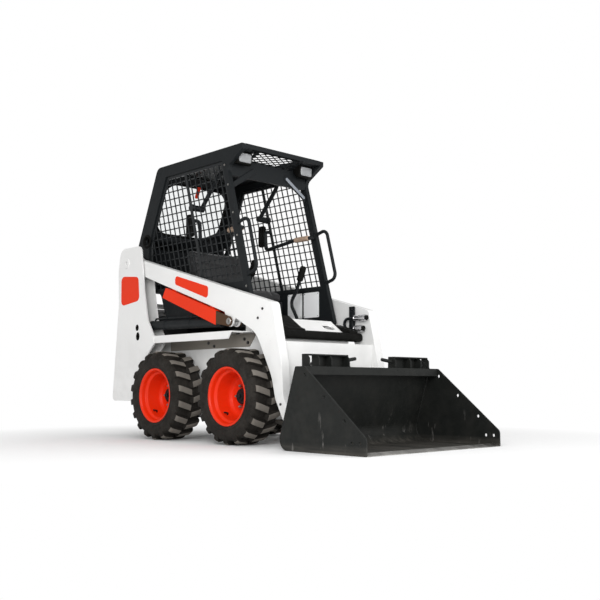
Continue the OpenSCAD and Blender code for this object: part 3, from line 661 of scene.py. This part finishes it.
def lever_grips():
    """Moulded grips with finger ribs on the two steering levers."""
    form = Form()
    start, end = Vector((210, 0, 1016)), Vector((246, 0, 1098))
    way = (end - start).normalized()
    long = (end - start).length
    profile = [(0, 0), (15, 0), (20.5, 4)]
    for i in range(6):
        h = 10 + i * 11
        profile += [(20.5, h), (21.8, h + 4), (21.8, h + 6), (20.5, h + 9)]
    profile += [(20.5, long), (17, long + 7), (9, long + 10), (0, long + 11)]
    for side in SIDES:
        form.turn(profile, spot(start + Vector((0, side * 205, 0)), way), 24)
    form.piece("lever_grips", black_rubber, "chassis", "black_rubber")


plain_panels()
chassis_bolts()
painted_shade_plates()
tie_grommets()
lamp_bezels()
door_latch()
lever_grips()


# Arms, cylinders and bucket

def arm_fasteners():
    """Bolts on the arms, heads of the cylinder and bucket pins, and beads along the crossmember's ends."""
    dark, pins, beads = Form(), Form(), Form()
    for side in SIDES:
        for x, z in ((576, 775), (537, 724), (731, 237)):
            dark.bolt(outward(x, side * ARM_Y, z, side), 7)
        for y in (362, 440):
            away = 1 if y > 400 else -1
            place = outward(285, side * y, 718, side * away)
            pins.turn([(0, -4), (21, -4), (21, 2), (18, 5), (0, 5)], place, 28)
            pins.turn([(0, 3), (9, 3), (9, 10), (7, 11), (0, 11)], place, 6)
        pins.turn([(0, -2), (26, -2), (26, 7), (22, 10), (0, 10)], outward(800, side * 442, 140, side), 28)
        beads.weld_bead([(691, side * 371, 356), (691, side * 371, 586)], 4.5, (1, 0, 0))
        beads.weld_bead([(624, side * 371, 590), (688, side * 371, 590)], 4.0, (0, 0, 1))
    dark.piece("arm_bolts", dark_steel, "lift_arms", "worn_steel")
    beads.piece("arm_welds", white_paint, "lift_arms", "white_paint")
    pins.piece("arm_pin_heads", worn_steel, "lift_arms", "worn_steel")


def quick_couplers():
    """Two bright couplers with ribbed sleeves and dark dust caps, over the plain ones."""
    bright, caps = Form(), Form()
    start = 556
    for z, end in ((760, 667), (695, 641)):
        long = end - start
        place = spot((start, 345, z), (1, 0, 0))
        bright.turn([(0, -2), (20, -2), (20, 12), (18, 14), (0, 14)], place, 6)
        profile = [(0, 8), (15, 8), (15, long - 62), (19, long - 60)]
        for i in range(5):
            h = long - 56 + i * 8
            profile += [(20, h), (20, h + 4), (18.6, h + 5), (18.6, h + 7)]
        profile += [(20, long - 14), (16, long - 11), (16, long - 1), (0, long - 1)]
        bright.turn(profile, place, 32)
        caps.turn([(0, long - 3), (16.6, long - 3), (16.6, long + 2), (13, long + 4), (0, long + 4)],
                  place, 28)
    bright.piece("coupler_sleeves", bright_steel, "lift_arms", "bright_steel")
    caps.piece("coupler_caps", black_rubber, "lift_arms", "black_rubber")


LONG_BARREL = 500


def cylinder_fittings(name, base, eye, y, length, r):
    """Gland and base rings, and for the long ones a formed pipe along the top of the barrel."""
    form = Form()
    pipe = r + 13
    start = Vector((base[0], y, base[1]))
    way = (Vector((eye[0], y, eye[1])) - start).normalized()
    place = spot(start, way)
    form.turn([(r - 4, length - 24), (r + 2.6, length - 24), (r + 2.6, length - 5), (r + 1, length - 1),
               (r - 4, length - 1)], place, 36)
    form.turn([(r - 3, 34), (r + 2, 36), (r + 2, 46), (r - 3, 48)], place, 36)
    if length > LONG_BARREL:
        up = Vector((-way.z, 0, way.x))
        path = [start + way * a + up * b for a, b in
                ((70, r - 4), (70, pipe), (length - 46, pipe), (length - 46, r - 4))]
        form.sweep(fillet(path, 12), 6, (0, 1, 0), 12)
        for a in (200, 470):
            clip = spot(start + way * a, way)
            form.turn([(r - 2, -8), (r + 1.6, -8), (r + 1.6, 8), (r - 2, 8)], clip, 36)
            form.sweep([start + way * (a + end) + up * pipe for end in (-8, 8)], 8.5)
    form.piece(name + "_fittings", black_paint, name, "black_paint")


BRACKET_RIBS = (194, 330, 424, 496)


def bucket_brackets():
    """Ribbed brackets on the bucket's lip, open at their outer ends, with a short bar at the inner ones."""
    form = Form()
    rib = [(973, 440), (1030, 440), (1030, 484), (1012, 504), (973, 504)]
    for side in SIDES:
        form.slab([(973, 440), (981, 440), (981, 500), (973, 500)], side * 190, side * 424)
        form.slab([(973, 498), (1018, 498), (1018, 506), (973, 506)], side * 190, side * 500)
        for y in BRACKET_RIBS:
            form.slab(rib, side * (y - 4), side * (y + 4))
        form.sweep([(1000, side * 194, 476), (994, side * 110, 488)], 10, (0, 0, 1), 14)
    form.piece("lip_brackets", bucket_paint, "bucket", "black_paint", ("bucket_brackets",), edge=2)


def bucket_welds():
    """Beads where the bucket's sides meet its shell, and along the brackets' ribs."""
    form = Form()
    inside = fillet([(984, 412), (853.6, 9), (1432, 9)], 80, steps=14)
    for side in SIDES:
        form.weld_bead([(p.x, side * 547.5, p.y) for p in inside], 4.0)
        for y in BRACKET_RIBS:
            form.weld_bead([(983, side * y, 441), (1030, side * y, 441)], 6.0, (0, 0, 1))
    form.piece("bucket_welds", bucket_paint, "bucket", "black_paint")


arm_fasteners()
quick_couplers()
for hand, y in (("right", -401.0), ("left", 401.0)):
    cylinder_fittings("lift_barrel_" + hand, base=(-600, 735), eye=(285, 718), y=y, length=786.2, r=30)
cylinder_fittings("tilt_barrel", base=(610, 500), eye=(834, 234), y=0.0, length=286.8, r=32)
bucket_brackets()
bucket_welds()


# Cab: how far out the outer faces of its sides and the plates on its inner walls are

SIDE_Y = 347
WALL_Y = 315


def work_lamps():
    """Black lamp housings with a round-cornered fluted lens in a frame."""
    housing, glass = Form(), Form()
    case = [(208, 1706), (212, 1788), (150, 1788), (150, 1742), (176, 1706)]
    frame_edge, lens_edge = ([(-a, -b), (a, -b), (a, b), (-a, b)] for a, b in ((58, 39), (49, 29)))
    for side in SIDES:
        housing.slab(case, side * 203, side * 320.5)
        face = spot((206, side * 262, 1746), (1, 0, -0.05))
        housing.cut(fillet(frame_edge, 14, True), -6, 9, face)
        glass.cut(fillet(lens_edge, 12, True), 4, 12, face)
    housing.piece("lamp_housings", black_rubber, "cab", "black_rubber", ("work_lights",), edge=6)
    glass.piece("lamp_glass", lamp_lens, "cab", "lamp_lens", ("work_lights",), edge=5)


# The cab's sloping rear sheet: its top edge, its length and its slope
REAR_TOP_X, REAR_TOP_Z = -614, 1813
REAR_LENGTH = 562
REAR_SLOPE = math.atan2(222, 516)


def rear_point(across, high, out):
    """A point of the sloping rear sheet, by its height from the sheet's foot."""
    up = high - REAR_LENGTH
    return Vector((REAR_TOP_X + out * math.cos(REAR_SLOPE) + up * math.sin(REAR_SLOPE), across,
                   REAR_TOP_Z - out * math.sin(REAR_SLOPE) + up * math.cos(REAR_SLOPE)))


def rear_window_trim():
    """Rubber seal round the rear window and a plain red pull tag at its top."""
    seal, tag = Form(), Form()
    out = Vector((math.cos(REAR_SLOPE), 0, -math.sin(REAR_SLOPE)))
    edge = fillet([(-280, 120), (280, 120), (280, 486), (-280, 486)], 110, True, 10)
    seal.sweep([rear_point(p[0], p[1], 28) for p in edge], 9, out, 10, True, 1.5)
    strap = fillet([(-14, 412), (14, 412), (14, 496), (-14, 496)], 8, True)
    tag.cut(strap, 36, 41, TOP_VIEW @ Matrix((
        (0, math.sin(REAR_SLOPE), math.cos(REAR_SLOPE), rear_point(0, 0, 0).x), (1, 0, 0, 0),
        (0, math.cos(REAR_SLOPE), -math.sin(REAR_SLOPE), rear_point(0, 0, 0).z), (0, 0, 0, 1))))
    seal.piece("window_seal", black_rubber, "cab", "black_rubber")
    tag.piece("window_pull", red_paint, "cab", "red_paint")


POST_TOP_X, POST_TOP_Z = 125, 1745
POST_LEAN = 242 / 857


def post_x(z):
    """Front face of the cab's posts at a height."""
    return POST_TOP_X + (POST_TOP_Z - z) * POST_LEAN


def cab_fasteners():
    """Bolts up the posts' sides, plugs on their front faces and bolts along the roof."""
    form, heads = Form(), Form()
    for side in SIDES:
        for z in (1705, 1575, 1394, 1248, 930, 850):
            heads.bolt(outward(post_x(z) - 20, side * SIDE_Y, z, side), 6)
        for z in (1330, 1004):
            form.turn([(0, -1), (13.5, -1), (13.5, 4), (12, 8), (0, 8)],
                      spot((post_x(z), side * 333, z), (1, 0, POST_LEAN)), 24)
        for x in (-500, -300, -100):
            form.bolt(spot((x, side * 290, 1814), (0, 0, 1)), 7)
    form.piece("cab_bolts", black_paint, "cab", "black_paint")
    heads.piece("post_bolts", worn_steel, "cab", "worn_steel")


def side_boots():
    """Black rubber rings round the holes at the rear of the cab's sides."""
    form = Form()
    for side in SIDES:
        form.turn([(28, -8), (46, -2), (48, 0), (46, 4), (36, 6), (31, 2), (28, -8)],
                  outward(-730, side * SIDE_Y, 1322, side), 40)
    form.piece("side_boots", black_rubber, "cab", "black_rubber")


BRACE_X = 154.0


def painted_reflection_strip():
    """Pale grey strip on the left corner brace of the header: a painted reflection, the shine of the light on
    the black brace.
    """
    form = Form()
    strip = fillet([(140, 1700), (305, 1592), (305, 1570), (130, 1682)], 8, True)
    form.cut(strip, 0, 3, Matrix(((0, 0, 1, BRACE_X + MIDDLE), (1, 0, 0, 0), (0, 1, 0, 0), (0, 0, 0, 1))))
    form.piece("painted_reflection_strip", brace_reflection_paint, "cab", "black_paint", edge=0.6)


def arm_rest_grips():
    """Tan sleeves on the rails beside the seat and a black pad behind each."""
    grips, pads = Form(), Form()
    profile = [(0, 0), (12, 0), (16, 3)]
    for i in range(9):
        h = 8 + i * 13
        profile += [(16.5, h), (17.5, h + 3), (17.5, h + 8), (16.5, h + 11)]
    profile += [(16, 129), (12, 132), (0, 132)]
    pad = fillet([(-312, 1304), (-250, 1304), (-258, 1452), (-312, 1452)], 14, True)
    for side in SIDES:
        grips.turn(profile, spot((84, side * 283, 1305), (1, 0, 0)), 24)
        pads.slab(pad, side * 298, side * 326)
    grips.piece("rail_grips", tan_rubber, "cab", "black_rubber")
    pads.piece("rail_pads", black_rubber, "cab", "black_rubber", edge=5)


def blank_plates():
    """Two bare plates on each inner wall, below the window."""
    form, rivets = Form(), Form()
    for side in SIDES:
        for rear, front in ((-21, 118), (134, 276)):
            plate = fillet([(rear, 783), (front, 783), (front, 949), (rear, 949)], 8, True)
            form.slab(plate, side * WALL_Y, side * (WALL_Y + 3))
            for x in (rear + 9, front - 9):
                for z in (792, 940):
                    rivets.turn([(0, 0), (4, 0), (3, 2), (0, 2.6)], outward(x, side * WALL_Y, z, -side), 12)
    form.piece("wall_plates", bare_plate, "cab", "white_paint", edge=0.5)
    rivets.piece("wall_rivets", worn_steel, "cab", "worn_steel")


work_lamps()
rear_window_trim()
cab_fasteners()
side_boots()
painted_reflection_strip()
arm_rest_grips()
blank_plates()


# Seat

def settled(obj):
    """The object's mesh with its modifiers applied."""
    bpy.context.view_layer.update()
    return bpy.data.meshes.new_from_object(obj.evaluated_get(bpy.context.evaluated_depsgraph_get()))


def inflate(obj, frames=20, pressure=4.0):
    """Blows the cloth of a closed pad up a little, with no gravity."""
    cloth = obj.modifiers.new("cloth", "CLOTH")
    cloth.settings.use_pressure = True
    cloth.settings.uniform_pressure_force = pressure
    cloth.settings.quality = 5
    cloth.settings.tension_stiffness = 25
    cloth.settings.effector_weights.gravity = 0
    for step in range(1, frames + 1):
        bpy.context.scene.frame_set(step)
    mesh = settled(obj)
    bpy.context.scene.frame_set(1)
    return mesh


def groove(across, width):
    """Depth share of a sewn channel at a distance across from its line."""
    return math.exp(-((across / width) ** 2))


BOLSTER = 0.145
SWELL_LIMIT = 0.012
SEAM_WIDTH, SEAM_DEPTH = 0.009, 0.007
SEAM_FACING = 0.35
VOXEL = 0.008


def cushion(node, shrink, seat, seams, flat_axis):
    """A stuffed pad in the space of a plain solid: swollen by cloth pressure, then sewn along seam lines.
    It shrinks towards its seat, a place given in shares of the solid's box."""
    low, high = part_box(node)
    middle = (low + high) / 2
    fixed = Vector(a + (b - a) * share for a, b, share in zip(low, high, seat))
    pad = link(bpy.data.objects.new("pad_" + node, nodes[node].data.copy()))
    pad.data.transform(Matrix.Translation(fixed) @ Matrix.Diagonal((*shrink, 1)) @ Matrix.Translation(-fixed))
    for kind, key, value in (("WELD", "merge_threshold", 1e-5), ("REMESH", "voxel_size", VOXEL)):
        setattr(pad.modifiers.new(kind.lower(), kind), key, value)
    plain = settled(pad)
    pad.modifiers.clear()
    pad.data = plain
    start = [v.co.copy() for v in plain.vertices]
    pad.data = inflate(pad)
    pad.modifiers.clear()
    for vertex, origin in zip(pad.data.vertices, start):
        move = vertex.co - origin
        if move.length > SWELL_LIMIT:
            vertex.co = origin + move.normalized() * SWELL_LIMIT
    normals = [v.normal.copy() for v in pad.data.vertices]
    for vertex, normal in zip(pad.data.vertices, normals):
        if normal[flat_axis] > SEAM_FACING:
            depth = max(groove(seam(vertex.co - middle), SEAM_WIDTH) for seam in seams)
            vertex.co -= normal * SEAM_DEPTH * depth
    for face in pad.data.polygons:
        face.use_smooth = True
    pad.data.materials.clear()
    pad.data.materials.append(seat_vinyl)
    pad.modifiers.new("round", "SUBSURF").render_levels = 1
    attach(pad, "cab")
    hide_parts(node)


cushion("seat_cushion", shrink=(0.9, 0.95, 0.62), seat=(0.02, 0.5, 0.1), flat_axis=2,
        seams=(lambda p: abs(p.y) - BOLSTER, lambda p: p.x - 0.08, lambda p: p.x + 0.06))
cushion("seat_back", shrink=(0.95, 0.95, 0.95), seat=(0.5, 0.5, 0.5), flat_axis=0,
        seams=(lambda p: abs(p.y) - BOLSTER, lambda p: p.z - 0.05, lambda p: p.z + 0.06))


# Stage: floor, light and camera

FADE_START, FADE_END = 1.4, 2.6
SURROUND, SEEN_SURROUND = 0.55, 1.0


def white_out(s):
    """Lets the floor fade to the white surround, to the camera and in mirrors, away from the machine."""
    spread = s.add("ShaderNodeVectorMath", operation="LENGTH")
    s.link(s.place, spread.inputs[0])
    path = s.add("ShaderNodeLightPath")
    seen = s.add("ShaderNodeMath", operation="MAXIMUM")
    s.link(path.outputs["Is Camera Ray"], seen.inputs[0])
    s.link(path.outputs["Is Glossy Ray"], seen.inputs[1])
    fade = s.times(s.ramp(spread.outputs["Value"], FADE_START, FADE_END), seen.outputs["Value"])
    glow = s.add("ShaderNodeEmission")
    both = s.add("ShaderNodeMixShader")
    s.link(fade, both.inputs["Fac"])
    s.link(s.surface.outputs["BSDF"], both.inputs[1])
    s.link(glow.outputs["Emission"], both.inputs[2])
    s.link(both.outputs["Shader"], s.tree.nodes["Material Output"].inputs["Surface"])


def stage_floor():
    """Wide pale floor."""
    size = 60.0
    mesh = bpy.data.meshes.new("floor")
    corners = [(-size, -size, 0), (size, -size, 0), (size, size, 0), (-size, size, 0)]
    mesh.from_pydata(corners, [], [(0, 1, 2, 3)])
    floor = link(bpy.data.objects.new("floor", mesh))
    s = Shader("floor", (0.93, 0.93, 0.93), 0.9, specular_ior_level=0.1)
    s.mix_colour(s.ramp(s.noise(1.2), 0.4, 0.7, 0.0, 0.15), (0.90, 0.90, 0.90))
    white_out(s)
    floor.data.materials.append(s.material)


def softbox(name, at, aim, size, power):
    """A soft light that the camera doesn't see, also not through glass."""
    data = bpy.data.lights.new(name, "AREA")
    data.shape = "RECTANGLE"
    data.size, data.size_y = size
    data.energy = power
    lamp = link(bpy.data.objects.new(name, data))
    lamp.location = at
    lamp.rotation_mode = "QUATERNION"
    lamp.rotation_quaternion = (Vector(aim) - Vector(at)).to_track_quat("-Z", "Y")
    lamp.visible_camera = False
    lamp.visible_transmission = False


def studio():
    """Pale surround that the camera sees as white, also through glass, and soft boxes round the machine."""
    world = bpy.data.worlds.new("surround")
    bpy.context.scene.world = world
    world.use_nodes = True
    tree = world.node_tree
    back = tree.nodes["Background"]
    path = tree.nodes.new("ShaderNodeLightPath")
    seen = tree.nodes.new("ShaderNodeMath")
    seen.operation = "MAXIMUM"
    tree.links.new(path.outputs["Is Camera Ray"], seen.inputs[0])
    tree.links.new(path.outputs["Is Transmission Ray"], seen.inputs[1])
    level = tree.nodes.new("ShaderNodeMapRange")
    level.inputs["To Min"].default_value = SURROUND
    level.inputs["To Max"].default_value = SEEN_SURROUND
    tree.links.new(seen.outputs[0], level.inputs["Value"])
    tree.links.new(level.outputs["Result"], back.inputs["Strength"])
    back.inputs["Color"].default_value = (1, 1, 1, 1)
    middle = (0.0, 0.0, 0.8)
    softbox("key", (4.0, -4.2, 2.4), middle, (2.6, 2.6), 210)
    softbox("top", (-0.4, 0.4, 5.0), middle, (4.0, 3.0), 45)
    softbox("front", (5.0, 1.2, 2.0), middle, (2.5, 2.5), 85)


def photo_camera():
    """The photograph's own view."""
    data = bpy.data.cameras.new("camera")
    data.lens = LENS_MM
    data.sensor_width = 36.0
    camera = link(bpy.data.objects.new("camera", data))
    camera.location = CAMERA_AT
    level = math.cos(CAMERA_PITCH)
    ahead = Vector((-math.sin(CAMERA_TURN) * level, math.cos(CAMERA_TURN) * level, math.sin(CAMERA_PITCH)))
    camera.rotation_mode = "QUATERNION"
    camera.rotation_quaternion = ahead.to_track_quat("-Z", "Y")
    bpy.context.scene.camera = camera


stage_floor()
studio()
photo_camera()
bpy.context.scene.view_settings.view_transform = "Standard"
